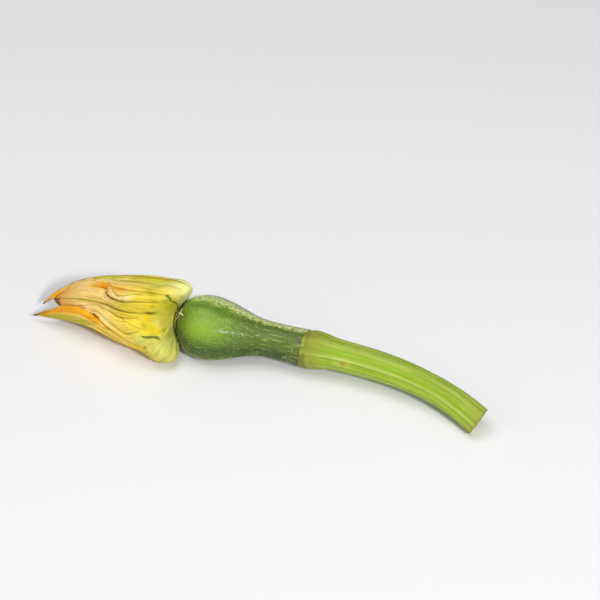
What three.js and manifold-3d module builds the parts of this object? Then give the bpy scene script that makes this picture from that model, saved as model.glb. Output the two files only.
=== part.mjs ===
// A young pumpkin as picked with its flower: the cut stem, the green fruit, the calyx with its five sepals,
// the closed corolla and, inside it, the pistil. It lies on its side. Millimetres, +Z up, the flower's tips
// to -X and the stem's cut end to +X. Azimuths run round the X axis: 0 is -Y and 90 is +Z.
import * as THREE from "three";
import { mergeVertices } from "three/addons/utils/BufferGeometryUtils.js";
import Module from "manifold-3d";

const wasm = await Module();
wasm.setup();

// Driving dimensions. The fruit's blossom end is at x = 0, on this height above the surface.
const BLOSSOM_END_HEIGHT = 15.6;
const GAP = 0.3;

// Fruit: its centreline is a cubic Bezier, and its radius follows stations along x.
const FRUIT_START = 1.3;
const FRUIT_END = 66.9;
const FRUIT_LINE = [
  [FRUIT_START, 0, BLOSSOM_END_HEIGHT],
  [21, -4, 15.8],
  [44, 3.4, 13.2],
  [FRUIT_END, 1.8, 12.2],
];
const FRUIT_RADIUS = [
  [1.3, 5.0],
  [2.5, 7.7],
  [4.2, 10.3],
  [7.1, 13.1],
  [11, 15.1],
  [16, 16.1],
  [21, 15.8],
  [27, 14.4],
  [33, 12.3],
  [39, 10.3],
  [45, 9.1],
  [52, 8.7],
  [60, 8.8],
  [66.9, 9.2],
];
const FRUIT_RIBS = 10;
const FRUIT_RIB_HEIGHT = 0.22;

// Stem: five rounded angles with finer grooves between them, flared where it meets the fruit. It
// arches down to rest on its cut end, whose face is slanted.
const STEM_LINE = [
  [FRUIT_END + GAP, 1.8, 12.2],
  [97, 1.6, 12.2],
  [131, -1.5, 13.2],
  [158.4, -18.2, 6.1],
];
const CUT_FACING = new THREE.Vector3(0.9, -0.22, -0.37);
const CUT_LENGTH = 12;
const STEM_RADIUS = [
  [0, 8.9],
  [3, 9.4],
  [8, 8.9],
  [14, 7.8],
  [24, 7.4],
  [48, 6.9],
  [62, 6.5],
  [78, 6.5],
  [98, 6.9],
];
const STEM_ANGLES = 5;
const STEM_ANGLE_HEIGHT = 0.34;
const STEM_GROOVE_DEPTH = 0.16;

// Corolla: a pleated tube with a dished base, which parts into five lobes at the notches. Its base
// swells back over the fruit at two azimuths and is pressed in between them, on the near side.
const PETALS = 5;
const PETAL_STEP = 360 / PETALS;
const FIRST_MIDRIB = 43;
const PETAL_THICKNESS = 0.9;
const BASE_X = -0.6;
const BASE_RADIUS = 4.6;
const SHOULDER_BACK = 1;
const SWELLINGS = [
  [118, 8.5, 34],
  [316, 8, 32],
  [36, -11, 40],
];
const NOTCH_X = -36;
const TUBE_CENTRE = [
  [-6, -4.6, 17.8],
  [-14, -4.0, 18.9],
  [-26, -3.3, 18.9],
  [-36, -1.9, 17.9],
];
const TUBE_RADIUS = [
  [-4, 20.4],
  [-13, 18.5],
  [-20, 17.4],
  [-28, 15.9],
  [-36, 14.1],
];
const WIDTH_SHARE = 1.1;
const HEIGHT_SHARE = 0.94;
const MIDRIB_HEIGHT = 0.7;
const FURROW_DEPTH = 1.3;
const PLEAT_HEIGHT = 0.45;
const PLEATS_PER_PETAL = 5;
const LOBE_TIPS = [
  [-66.4, -2.4, 13.8],
  [-74.4, 1.4, 7.2],
  [-62, 5.4, 9],
  [-60, 0.6, 2.4],
  [-76.2, -6.3, 4],
];
// How far each lobe runs straight on past the notches before it bends to its tip.
const LOBE_BENDS = [0.5, 0.62, 0.5, 0.5, 0.42];
// The share of the space between two petals that the first one takes: petal 0 and 1, 1 and 2, and so on.
const SEAM_SHARES = [0.85, 0.5, 0.5, 0.5, 0.79];
// Which of the two lies on top past the notch: 1 is the first one and -1 the second.
const SEAM_ON_TOP = [1, -1, -1, 1, 1];
// How much further the one on top reaches over the other, as a share of its half width.
const SEAM_OVERLAPS = [0, 0, 0, 0, 0.65];
const LOBE_TIP_SHARE = 0.06;
// How late each lobe narrows to its tip.
const LOBE_BLUNTNESS = [4, 4, 4, 4, 2.3];
// How far a lobe's edge passes the middle of its seam, along the lobe, as a share of its half width.
const LOBE_EDGE = [
  [0, 0],
  [0.1, -0.1],
  [0.4, 0.07],
  [0.75, 0.05],
  [1, -0.1],
];
// How deep the lower edge lies under the other lobe.
const LOBE_TUCK = 1.9;

// Calyx: a ring round the flower's base and five narrow sepals. A reach of 2 would end at the notches.
const RING_X = 0.45;
const RING_INNER = 3.6;
const RING_OUTER = 5.6;
const RING_HALF_THICKNESS = 0.5;
const FIRST_SEPAL = FIRST_MIDRIB - PETAL_STEP / 2;
const SEPAL_REACH = [1.08, 0.78, 1.55, 1.45, 0.35];
const SEPAL_HALF_WIDTH = 1.35;
const SEPAL_THICKNESS = 0.7;
const SEPAL_CLEARANCE = 0.35;

// Pistil: a short style with three two-lobed stigmas, inside the closed corolla.
const STYLE_RADIUS = 3.0;
const STYLE_LENGTH = 13;
const STIGMAS = 3;
const STIGMA_LOBE_RADIUS = 2.5;
const STIGMA_SPREAD = 3.1;

const clamp = THREE.MathUtils.clamp;
const mix = THREE.MathUtils.lerp;
const smooth = (share) => THREE.MathUtils.smoothstep(share, 0, 1);
const radians = THREE.MathUtils.degToRad;

// A smooth value at x through stations [x, value, ...], whose slopes follow their neighbours.
function through(stations, x, column = 1) {
  const rising = stations[0][0] < stations.at(-1)[0];
  const list = rising ? stations : [...stations].reverse();
  const last = list.length - 1;
  const at = clamp(x, list[0][0], list[last][0]);
  const i = clamp(list.findIndex((s) => s[0] >= at) - 1, 0, last - 1);
  const slope = (k) => {
    const before = list[Math.max(k - 1, 0)];
    const after = list[Math.min(k + 1, last)];
    return (after[column] - before[column]) / (after[0] - before[0]);
  };
  const span = list[i + 1][0] - list[i][0];
  const t = (at - list[i][0]) / span;
  const [t2, t3] = [t * t, t * t * t];
  return (
    (2 * t3 - 3 * t2 + 1) * list[i][column] +
    (t3 - 2 * t2 + t) * span * slope(i) +
    (3 * t2 - 2 * t3) * list[i + 1][column] +
    (t3 - t2) * span * slope(i + 1)
  );
}

const bezier = (points) => new THREE.CubicBezierCurve3(...points.map((p) => new THREE.Vector3(...p)));
const onSurface = (p) => p.setZ(Math.max(p.z, 0));

// The degrees from one azimuth to another, from -180 to 180.
const turn = (from, to) => THREE.MathUtils.euclideanModulo(to - from + 180, 360) - 180;

// A geometry from points and triangles of point numbers.
function geometryOf(points, triangles) {
  const geometry = new THREE.BufferGeometry().setFromPoints(points);
  geometry.setIndex(triangles.flat());
  geometry.computeVertexNormals();
  return geometry;
}

// A closed body of rings of equal count, each end closed by a fan round its middle.
function bodyOfRings(rings) {
  const count = rings[0].length;
  const points = rings.flat();
  const triangles = [];
  for (let i = 0; i < rings.length - 1; i++) {
    for (let j = 0; j < count; j++) {
      const [a, b] = [i * count + j, i * count + ((j + 1) % count)];
      triangles.push([a, a + count, b], [b, a + count, b + count]);
    }
  }
  const middle = (ring) => ring.reduce((sum, p) => sum.add(p), new THREE.Vector3()).divideScalar(count);
  const [start, end] = [points.length, points.length + 1];
  points.push(middle(rings[0]), middle(rings.at(-1)));
  const lastRing = (rings.length - 1) * count;
  for (let j = 0; j < count; j++) {
    const next = (j + 1) % count;
    triangles.push([start, j, next], [end, lastRing + next, lastRing + j]);
  }
  return geometryOf(points, triangles);
}

// A closed blade from the points of its outside and its inside, and the outside's triangles.
function blade(outside, inside, triangles) {
  const count = outside.length;
  const edges = new Set(triangles.flatMap(([a, b, c]) => [`${a} ${b}`, `${b} ${c}`, `${c} ${a}`]));
  const rim = [];
  for (const edge of edges) {
    const [a, b] = edge.split(" ").map(Number);
    if (!edges.has(`${b} ${a}`)) rim.push([b, a, a + count], [b, a + count, b + count]);
  }
  const back = triangles.map(([a, b, c]) => [c + count, b + count, a + count]);
  return geometryOf([...outside, ...inside], [...triangles, ...back, ...rim]);
}

// A geometry as a solid for joining, and a solid's geometry.
function solidOf(geometry) {
  const bare = geometry.clone();
  bare.deleteAttribute("normal");
  bare.deleteAttribute("uv");
  const merged = mergeVertices(bare, 1e-4);
  const mesh = new wasm.Mesh({
    numProp: 3,
    vertProperties: merged.attributes.position.array,
    triVerts: new Uint32Array(merged.index.array),
  });
  return new wasm.Manifold(mesh);
}

function geometryOfSolid(solid) {
  const { numProp, numVert, vertProperties, triVerts } = solid.getMesh();
  const points = [];
  for (let i = 0; i < numVert; i++) points.push(new THREE.Vector3().fromArray(vertProperties, i * numProp));
  const triangles = [];
  for (let i = 0; i < triVerts.length; i += 3) triangles.push([...triVerts.subarray(i, i + 3)]);
  return geometryOf(points, triangles);
}

const joined = (geometries) => geometryOfSolid(geometries.map(solidOf).reduce((a, b) => a.add(b)));

// Fruit
function fruit() {
  const [rows, columns] = [20, 40];
  const line = bezier(FRUIT_LINE);
  const rings = [];
  for (let i = 0; i <= rows; i++) {
    // The rows crowd towards the blossom end, where the radius changes fastest.
    const centre = line.getPoint(Math.pow(i / rows, 1.45));
    const radius = through(FRUIT_RADIUS, centre.x);
    const ripple = FRUIT_RIB_HEIGHT * smooth((radius - BASE_RADIUS) / 5);
    const ring = [];
    for (let j = 0; j < columns; j++) {
      const angle = (j / columns) * 2 * Math.PI;
      const r = radius + ripple * Math.cos(FRUIT_RIBS * angle);
      ring.push(onSurface(new THREE.Vector3(0, -r * Math.cos(angle), r * Math.sin(angle)).add(centre)));
    }
    rings.push(ring);
  }
  return bodyOfRings(rings);
}

// Stem
function stem() {
  const [rows, columns] = [22, 30];
  const line = bezier(STEM_LINE);
  const length = line.getLength();
  const rings = [];
  for (let i = 0; i <= rows; i++) {
    const share = Math.pow(i / rows, 1.15);
    const [centre, along] = [line.getPointAt(share), line.getTangentAt(share)];
    const side = new THREE.Vector3(0, 0, 1).cross(along).normalize();
    const up = along.clone().cross(side);
    const radius = through(STEM_RADIUS, share * length);
    const ring = [];
    for (let j = 0; j < columns; j++) {
      const angle = (j / columns) * 2 * Math.PI;
      const r =
        radius +
        STEM_ANGLE_HEIGHT * Math.cos(STEM_ANGLES * angle) +
        STEM_GROOVE_DEPTH * Math.cos(3 * STEM_ANGLES * angle);
      const across = side.clone().multiplyScalar(-r * Math.cos(angle));
      across.addScaledVector(up, r * Math.sin(angle));
      const slant = -across.dot(CUT_FACING) / along.dot(CUT_FACING);
      const nearCut = smooth(1 - ((1 - share) * length) / CUT_LENGTH);
      ring.push(onSurface(centre.clone().add(across).addScaledVector(along, slant * nearCut)));
    }
    rings.push(ring);
  }
  return bodyOfRings(rings);
}

// How far back the corolla's shoulder reaches at an azimuth.
function shoulder(azimuth) {
  const swelling = ([centre, height, spread]) => height * Math.exp(-((turn(centre, azimuth) / spread) ** 2));
  return SWELLINGS.reduce((back, each) => back + swelling(each), SHOULDER_BACK);
}

// The height of the corolla's ribs and pleats: a ridge on each midrib and a furrow between petals.
function relief(azimuth, reach) {
  const fromMidrib = Math.abs(turn(FIRST_MIDRIB, azimuth)) % PETAL_STEP;
  const share = Math.min(fromMidrib, PETAL_STEP - fromMidrib) / (PETAL_STEP / 2);
  const ridge = MIDRIB_HEIGHT * Math.exp(-((share / 0.16) ** 2));
  const furrow = FURROW_DEPTH * Math.exp(-(((1 - share) / 0.22) ** 2));
  const pleats = PLEAT_HEIGHT * Math.cos(PLEATS_PER_PETAL * PETALS * radians(azimuth - FIRST_MIDRIB));
  return (ridge - furrow) * smooth((reach - 0.25) / 0.6) + pleats * smooth((reach - 0.8) / 0.35);
}

// A point of the corolla. Reach is 0 at its base ring, 1 past the shoulder and 2 at the notches.
// Height is added to the radius.
function corollaPoint(azimuth, reach, height = 0) {
  const back = shoulder(azimuth);
  const tubeStart = back - 10;
  const full = through(TUBE_RADIUS, tubeStart);
  let x = mix(tubeStart, NOTCH_X, reach - 1);
  let radius = through(TUBE_RADIUS, x);
  if (reach < 1) {
    const base = bezier([
      [BASE_X, BASE_RADIUS, 0],
      [BASE_X + (back > 0 ? 0.2 : 0.45) * back, 0.53 * full, 0],
      [back + 4.5, 0.96 * full, 0],
      [tubeStart, full, 0],
    ]).getPoint(reach);
    [x, radius] = [base.x, base.y];
  }
  radius += height;
  const spread = smooth((radius - BASE_RADIUS) / 14);
  const centreY = mix(0, through(TUBE_CENTRE, x, 1), spread);
  const centreZ = mix(BLOSSOM_END_HEIGHT, through(TUBE_CENTRE, x, 2), spread);
  const [width, rise] = [mix(1, WIDTH_SHARE, spread) * radius, mix(1, HEIGHT_SHARE, spread) * radius];
  const angle = radians(azimuth);
  return new THREE.Vector3(x, centreY - width * Math.cos(angle), centreZ + rise * Math.sin(angle));
}

// The corolla's outward direction at a point, with its pleats smoothed out.
function corollaOutward(azimuth, reach) {
  const at = corollaPoint(azimuth, reach);
  const ahead = corollaPoint(azimuth, reach + 0.01).sub(at);
  return corollaPoint(azimuth + 1, reach).sub(at).cross(ahead).normalize();
}

// The line that a lobe's midrib follows from the notches to its tip.
function lobeSpine(petal) {
  const midrib = FIRST_MIDRIB + petal * PETAL_STEP;
  const ridge = corollaPoint(midrib, 2, relief(midrib, 2));
  const slope = corollaPoint(midrib, 2).sub(corollaPoint(midrib, 1.9)).normalize();
  const tip = new THREE.Vector3(...LOBE_TIPS[petal]);
  const bend = ridge.clone().addScaledVector(slope, ridge.distanceTo(tip) * LOBE_BENDS[petal]);
  return new THREE.QuadraticBezierCurve3(ridge, bend, tip);
}
const LOBE_SPINES = LOBE_TIPS.map((tip, petal) => lobeSpine(petal));

// How wide a lobe still is on one side: as wide as its share of the space to its neighbour.
function lobeWidth(petal, side, along) {
  const neighbour = (petal + side + PETALS) % PETALS;
  const apart = (share) => {
    const [own, next] = [LOBE_SPINES[petal].getPoint(share), LOBE_SPINES[neighbour].getPoint(share)];
    return Math.hypot(own.y - next.y, own.z - next.z);
  };
  const seam = side > 0 ? petal : neighbour;
  const share = side > 0 ? SEAM_SHARES[seam] : 1 - SEAM_SHARES[seam];
  const taken = mix(1, 2 * share, smooth(along * 2.5));
  const over = SEAM_ON_TOP[seam] === side ? SEAM_OVERLAPS[seam] * smooth((along - 0.1) / 0.6) : 0;
  const room = taken * (apart(along) / apart(0)) + through(LOBE_EDGE, along) + over;
  return mix(LOBE_TIP_SHARE, 1, room * Math.sqrt(1 - Math.pow(along, LOBE_BLUNTNESS[petal])));
}

// How far a lobe's edge drops to lie under its neighbour.
function lobeTuck(fromMidrib, along) {
  return LOBE_TUCK * smooth((fromMidrib - 0.3) / 0.6) * smooth(along / 0.12) * smooth((1 - along) / 0.3);
}

// A lobe past its notches: across is -1 to 1 between its edges, along is 0 to 1 at its tip.
function lobePoint(petal, across, along) {
  const midrib = FIRST_MIDRIB + petal * PETAL_STEP;
  const azimuth = midrib + (across * PETAL_STEP) / 2;
  const spine = LOBE_SPINES[petal];
  const height = mix(relief(azimuth, 2), relief(midrib, 2), smooth(along * 1.8));
  const fromMidrib = corollaPoint(azimuth, 2, height).sub(spine.v0);
  const width = lobeWidth(petal, across < 0 ? -1 : 1, along);
  const point = spine.getPoint(along).addScaledVector(fromMidrib, width);
  // At the tip the whole width of a lobe faces the way its midrib does.
  const side = corollaPoint(midrib + 1, 2).sub(corollaPoint(midrib, 2));
  const facing = side.cross(spine.getTangent(along)).normalize();
  const outward = corollaOutward(azimuth, 2).lerp(facing, smooth((along - 0.6) / 0.35)).normalize();
  const seam = across > 0 ? petal : (petal + PETALS - 1) % PETALS;
  const under = SEAM_ON_TOP[seam] === (across > 0 ? -1 : 1);
  const tuck = under ? lobeTuck(Math.abs(across), along) : 0;
  return { point: point.addScaledVector(outward, -tuck), outward };
}

// Corolla
function corolla() {
  const [baseRows, tubeRows, lobeRows, perPetal] = [8, 8, 9, 10];
  const columns = PETALS * perPetal;
  const outside = [];
  const inside = [];
  const triangles = [];
  const add = (point, outward) => {
    outside.push(onSurface(point));
    inside.push(point.clone().addScaledVector(outward, -PETAL_THICKNESS));
  };
  const quad = (a, b, c, d) => triangles.push([a, b, c], [a, c, d]);
  const rows = baseRows + tubeRows;
  for (let i = 0; i <= rows; i++) {
    const reach = i <= baseRows ? i / baseRows : 1 + (i - baseRows) / tubeRows;
    for (let j = 0; j < columns; j++) {
      const azimuth = FIRST_MIDRIB + (j / perPetal - 0.5) * PETAL_STEP;
      add(corollaPoint(azimuth, reach, relief(azimuth, reach)), corollaOutward(azimuth, reach));
    }
  }
  for (let i = 0; i < rows; i++) {
    for (let j = 0; j < columns; j++) {
      const [a, b] = [i * columns + j, i * columns + ((j + 1) % columns)];
      quad(a, b, b + columns, a + columns);
    }
  }
  for (let petal = 0; petal < PETALS; petal++) {
    const own = outside.length;
    const index = (i, j) => {
      const onNotchRow = rows * columns + ((petal * perPetal + j) % columns);
      return i === 0 ? onNotchRow : own + (i - 1) * (perPetal + 1) + j;
    };
    for (let i = 1; i <= lobeRows; i++) {
      for (let j = 0; j <= perPetal; j++) {
        const { point, outward } = lobePoint(petal, (2 * j) / perPetal - 1, i / lobeRows);
        add(point, outward);
      }
    }
    for (let i = 0; i < lobeRows; i++) {
      for (let j = 0; j < perPetal; j++) {
        quad(index(i, j), index(i, j + 1), index(i + 1, j + 1), index(i + 1, j));
      }
    }
  }
  return blade(outside, inside, triangles);
}

// One sepal: a narrow blade from inside the ring, over the shoulder and along the tube.
function sepal(index) {
  const [rows, columns] = [14, 2];
  const azimuth = FIRST_SEPAL + index * PETAL_STEP;
  const outside = [];
  const inside = [];
  const triangles = [];
  for (let i = 0; i <= rows; i++) {
    const share = i / rows;
    const reach = mix(0.04, SEPAL_REACH[index], share);
    const oneDegree = corollaPoint(azimuth + 1, reach).distanceTo(corollaPoint(azimuth, reach));
    const halfWidth = (SEPAL_HALF_WIDTH * (1 - 0.75 * share * share)) / oneDegree;
    for (let j = 0; j <= columns; j++) {
      const own = azimuth + halfWidth * ((2 * j) / columns - 1);
      const outward = corollaOutward(own, reach);
      const point = corollaPoint(own, reach).addScaledVector(outward, SEPAL_CLEARANCE);
      inside.push(point);
      outside.push(point.clone().addScaledVector(outward, SEPAL_THICKNESS));
    }
  }
  for (let i = 0; i < rows; i++) {
    for (let j = 0; j < columns; j++) {
      const a = i * (columns + 1) + j;
      const b = a + columns + 1;
      triangles.push([a, a + 1, b + 1], [a, b + 1, b]);
    }
  }
  return blade(outside, inside, triangles);
}

// Turns a lathe's axis from +Y to -X and sets it on the flower's base.
function onFlowerBase(geometry) {
  return geometry.rotateZ(Math.PI / 2).translate(0, 0, BLOSSOM_END_HEIGHT);
}

// Calyx
function calyx() {
  const outline = [
    [RING_INNER, -RING_HALF_THICKNESS],
    [RING_OUTER - 0.4, -RING_HALF_THICKNESS],
    [RING_OUTER, 0],
    [RING_OUTER - 0.4, RING_HALF_THICKNESS],
    [RING_INNER, RING_HALF_THICKNESS],
    [RING_INNER, -RING_HALF_THICKNESS],
  ].map(([r, y]) => new THREE.Vector2(r, y));
  const ring = onFlowerBase(new THREE.LatheGeometry(outline, 24)).translate(RING_X, 0, 0);
  const sepals = SEPAL_REACH.map((reach, index) => sepal(index));
  return joined([ring, ...sepals]);
}

// Pistil
function pistil() {
  const foot = FRUIT_START - GAP;
  const outline = [
    [0, -foot],
    [STYLE_RADIUS, -foot],
    [STYLE_RADIUS * 0.8, 3],
    [STYLE_RADIUS * 0.75, STYLE_LENGTH - 3],
    [STYLE_RADIUS, STYLE_LENGTH],
    [0, STYLE_LENGTH + 1],
  ].map(([r, y]) => new THREE.Vector2(r, y));
  const pieces = [onFlowerBase(new THREE.LatheGeometry(outline, 12))];
  for (let i = 0; i < STIGMAS; i++) {
    for (const half of [-1, 1]) {
      const angle = ((i + 0.19 * half) / STIGMAS) * 2 * Math.PI;
      const lobe = new THREE.SphereGeometry(STIGMA_LOBE_RADIUS, 10, 6);
      lobe.scale(0.95, 1.5, 0.8);
      lobe.rotateY(-angle);
      lobe.translate(
        STIGMA_SPREAD * Math.cos(angle),
        STYLE_LENGTH + 0.6,
        STIGMA_SPREAD * Math.sin(angle),
      );
      pieces.push(onFlowerBase(lobe));
    }
  }
  return joined(pieces);
}

const matte = (color, roughness) => new THREE.MeshStandardMaterial({ color, roughness, metalness: 0 });

const parts = [
  ["stem", stem(), matte(0x9cb93a, 0.55)],
  ["fruit", fruit(), matte(0x5d8526, 0.4)],
  ["calyx", calyx(), matte(0x7f9a3c, 0.6)],
  ["corolla", corolla(), matte(0xe6d25f, 0.6)],
  ["pistil", pistil(), matte(0xe8a91c, 0.6)],
];

const bud = new THREE.Group();
for (const [name, geometry, material] of parts) {
  const mesh = new THREE.Mesh(geometry, material);
  mesh.name = name;
  bud.add(mesh);
}

// The part's origin is on the surface, under the middle of the whole.
const extent = new THREE.Box3().setFromObject(bud, true);
const middle = extent.getCenter(new THREE.Vector3());
bud.position.set(-middle.x, -middle.y, -extent.min.z);

export default bud;
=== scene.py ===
import bmesh
import bpy
import numpy as np
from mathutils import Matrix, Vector, noise


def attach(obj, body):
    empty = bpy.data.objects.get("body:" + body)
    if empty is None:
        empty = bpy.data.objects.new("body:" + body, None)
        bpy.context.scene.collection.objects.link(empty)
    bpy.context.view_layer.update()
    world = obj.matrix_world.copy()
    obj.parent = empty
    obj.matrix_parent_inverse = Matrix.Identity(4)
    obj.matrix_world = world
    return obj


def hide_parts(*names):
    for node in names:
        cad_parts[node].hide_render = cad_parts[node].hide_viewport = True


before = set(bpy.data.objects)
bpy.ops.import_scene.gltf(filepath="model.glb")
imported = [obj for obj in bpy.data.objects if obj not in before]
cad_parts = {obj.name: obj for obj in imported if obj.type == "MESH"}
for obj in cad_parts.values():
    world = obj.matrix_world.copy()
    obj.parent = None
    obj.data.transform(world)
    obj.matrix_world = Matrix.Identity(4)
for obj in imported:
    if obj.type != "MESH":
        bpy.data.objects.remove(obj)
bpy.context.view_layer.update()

# Sizes that the part's solids have too
BLOSSOM_END_HEIGHT = 15.6
FRUIT_START = 1.3
FRUIT_LINE = [(1.3, 0, 15.6), (21, -4, 15.8), (44, 3.4, 13.2), (66.9, 1.8, 12.2)]
FRUIT_RADIUS = [
    (1.3, 5.0), (2.5, 7.7), (4.2, 10.3), (7.1, 13.1), (11, 15.1), (16, 16.1), (21, 15.8),
    (27, 14.4), (33, 12.3), (39, 10.3), (45, 9.1), (52, 8.7), (60, 8.8), (66.9, 9.2),
]
FRUIT_RIBS = 10
FRUIT_RIB_HEIGHT = 0.22
STEM_LINE = [(67.2, 1.8, 12.2), (97, 1.6, 12.2), (131, -1.5, 13.2), (158.4, -18.2, 6.1)]
CUT_FACING = np.array([0.9, -0.22, -0.37])
CUT_LENGTH = 12
STEM_RADIUS = [
    (0, 8.9), (3, 9.4), (8, 8.9), (14, 7.8), (24, 7.4), (48, 6.9), (62, 6.5), (78, 6.5), (98, 6.9),
]
STEM_ANGLES = 5
STEM_ANGLE_HEIGHT = 0.34
STEM_GROOVE_DEPTH = 0.16
PETALS = 5
PETAL_STEP = 72
HALF_PETAL = PETAL_STEP / 2
FIRST_MIDRIB = 43
BASE_X = -0.6
BASE_RADIUS = 4.6
SHOULDER_BACK = 1
SWELLINGS = [(118, 8.5, 34), (316, 8, 32), (36, -11, 40)]
NOTCH_X = -36
TUBE_CENTRE = [(-36, -1.9, 17.9), (-26, -3.3, 18.9), (-14, -4.0, 18.9), (-6, -4.6, 17.8)]
TUBE_RADIUS = [(-36, 14.1), (-28, 15.9), (-20, 17.4), (-13, 18.5), (-4, 20.4)]
WIDTH_SHARE = 1.1
HEIGHT_SHARE = 0.94
MIDRIB_HEIGHT = 0.7
FURROW_DEPTH = 1.3
PLEAT_HEIGHT = 0.45
LOBE_TIPS = [(-66.4, -2.4, 13.8), (-74.4, 1.4, 7.2), (-62, 5.4, 9), (-60, 0.6, 2.4), (-76.2, -6.3, 4)]
LOBE_BENDS = [0.5, 0.62, 0.5, 0.5, 0.42]
SEAM_SHARES = [0.85, 0.5, 0.5, 0.5, 0.79]
SEAM_ON_TOP = [1, -1, -1, 1, 1]
SEAM_OVERLAPS = [0, 0, 0, 0, 0.65]
RING_X = 0.45
RING_INNER = 3.6
RING_OUTER = 5.6
FIRST_SEPAL = FIRST_MIDRIB - HALF_PETAL
STYLE_RADIUS = 3.0
STYLE_LENGTH = 13

# Sizes of the finer surface
PETAL_THICKNESS = 0.55
PETAL_EDGE = 0.25
PLEAT_STEP = 14.4
LOBE_TIP_SHARE = 0.03
LOBE_BLUNTNESS = [3, 3, 4, 4, 1.8]
LOBE_TAPER = [0.5, 0.5, 0.5, 0.5, 0.95]
LOBE_EDGE = [(0, 0), (0.1, -0.06), (0.4, 0.04), (0.75, 0.05), (1, -0.1)]
LOBE_TUCK = 1.2
UNDER_REACH = 0.4
TIP_THREADS = [1.6, 2.2, 2.5, 2.5, 2.2]
TONGUE_WIDTH = [(1.0, 11), (1.19, 9.5), (1.36, 6.4), (1.56, 5), (1.83, 5), (1.95, 3), (2, 1)]
NEAR_PETAL = 0
LOW_PETAL = 4
FLAP_SEAM = FIRST_MIDRIB - HALF_PETAL
TONGUE_SEAM = FIRST_MIDRIB + HALF_PETAL
GRAIN_RADIUS = 20
GRAIN_LENGTH = 26
COLLAR_LENGTH = 7.0
END_SHARES = [0.08, 0.2, 0.35, 0.5, 0.65, 0.8, 0.92, 1]
END_DEPTHS = [0.1, 0.35, 0.3, 0.55, 0.9, 1.3, 1.5, 1.55]
STIGMAS = 3
KNOB_HALF_SIZES = (2.35, 2.0, 3.7)
KNOB_OUT = 3.1
KNOB_BUMPS = 0.07
WELD = 0.002
TAU = 2 * np.pi

# Sizes of the stage

# The camera's two places are in the part's millimetres.
CAMERA_AT = (251.0, -575.1, 515.4)
CAMERA_LOOKS_AT = (56.21, 24.41, 22.89)
CAMERA_LENS = 96
# Each light has its name, its place and size, both in metres, and its power.
LIGHTS = [
    ("key", (1.06, -1.1, 1.1), 0.22, 23),
    ("top", (-0.3, -0.3, 1.8), 1.5, 15),
    ("fill", (-1.3, -1.0, 0.9), 1.2, 4),
]
WORLD_STRENGTH = 0.28
FLOOR_HALF = 3.0


# Numbers and points
def clamp(value):
    return np.clip(value, 0, 1)


def smooth(share):
    share = clamp(share)
    return share * share * (3 - 2 * share)


def rise(value, start, length):
    """0 up to the start and 1 from a length past it, smooth between them."""
    return smooth((value - start) / length)


def fall(value, start, length):
    return 1 - rise(value, start, length)


def mix(a, b, share):
    return a + (b - a) * share


def near(distance, width):
    """1 at no distance, falling to nothing over about two widths."""
    return np.exp(-((distance / width) ** 2))


def turn(start, end):
    """The degrees from one azimuth to another, from -180 to 180."""
    return np.mod(end - start + 180, 360) - 180


def zigzag(value, half):
    """0 at every even multiple of half and half at every odd one."""
    return np.abs(np.mod(value + half, 2 * half) - half)


def unit(vectors):
    return vectors / np.linalg.norm(vectors, axis=-1, keepdims=True)


def stripes(azimuth, *courses):
    """1 along each course, which has an azimuth, a half width in degrees and a strength."""
    return sum(strength * near(turn(centre, azimuth), width) for centre, width, strength in courses)


def oval(x, azimuth, at, length, centre, width):
    """1 in the middle of an oval spot, at a place along a piece and round it."""
    return near(np.hypot((x - at) / length, turn(centre, azimuth) / width), 1)


def through(stations, x, column=1):
    """A smooth value at x through stations (x, value, ...), whose slopes follow their neighbours."""
    table = np.array(stations, float)
    xs, values = table[:, 0], table[:, column]
    last = len(xs) - 1
    before, after = np.maximum(np.arange(last + 1) - 1, 0), np.minimum(np.arange(last + 1) + 1, last)
    slopes = (values[after] - values[before]) / (xs[after] - xs[before])
    x = np.clip(x, xs[0], xs[-1])
    i = np.clip(np.searchsorted(xs, x) - 1, 0, last - 1)
    span = xs[i + 1] - xs[i]
    t = (x - xs[i]) / span
    return (
        (2 * t**3 - 3 * t**2 + 1) * values[i]
        + (t**3 - 2 * t**2 + t) * span * slopes[i]
        + (3 * t**2 - 2 * t**3) * values[i + 1]
        + (t**3 - t**2) * span * slopes[i + 1]
    )


def bezier(points, share):
    points = [np.asarray(p, float) for p in points]
    share = np.asarray(share, float)[..., None]
    while len(points) > 1:
        points = [mix(a, b, share) for a, b in zip(points, points[1:])]
    return points[0]


def lumps(points, size):
    """Smooth noise from about -1 to 1 at each point, whose lumps are about this size."""
    scaled = (np.asarray(points) / np.asarray(size)).reshape(-1, 3)
    values = np.array([noise.noise(Vector(p)) for p in scaled])
    return values.reshape(np.shape(points)[:-1])


def rows_of(start, end, steps):
    return np.linspace(start, end, steps + 1)[:, None]


def columns_of(start, end, steps):
    return np.linspace(start, end, steps + 1)[None, :]


def rolled(radius, angle, length):
    """A place on a roll, for a grain that runs along it."""
    return np.stack(np.broadcast_arrays(radius * np.cos(angle), radius * np.sin(angle), length), -1)


def radial(angle):
    """The direction away from the X axis at an angle round it."""
    return np.stack([np.zeros_like(angle), -np.cos(angle), np.sin(angle)], -1)


def round_fruit_end(x, radius, angle):
    """Points round the line along X through the middle of the fruit's blossom end."""
    height = BLOSSOM_END_HEIGHT + radius * np.sin(angle)
    return np.stack(np.broadcast_arrays(x, -radius * np.cos(angle), height), -1)


def closed(points):
    """Points whose last column lies on the first one, in place."""
    points[:, -1] = points[:, 0]
    return points


def on_floor(points):
    """Points with none below the surface, in place."""
    points[..., 2] = np.maximum(points[..., 2], 0)
    return points


def design_origin():
    """Where the frame has the design's origin, from the middle of the fruit's flat blossom end."""
    points = np.array([v.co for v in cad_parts["fruit"].data.vertices])
    end = points[points[:, 0] < points[:, 0].min() + 1e-5]
    return (end.min(0) + end.max(0)) / 2 - 0.001 * np.array([FRUIT_START, 0, BLOSSOM_END_HEIGHT])


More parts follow.
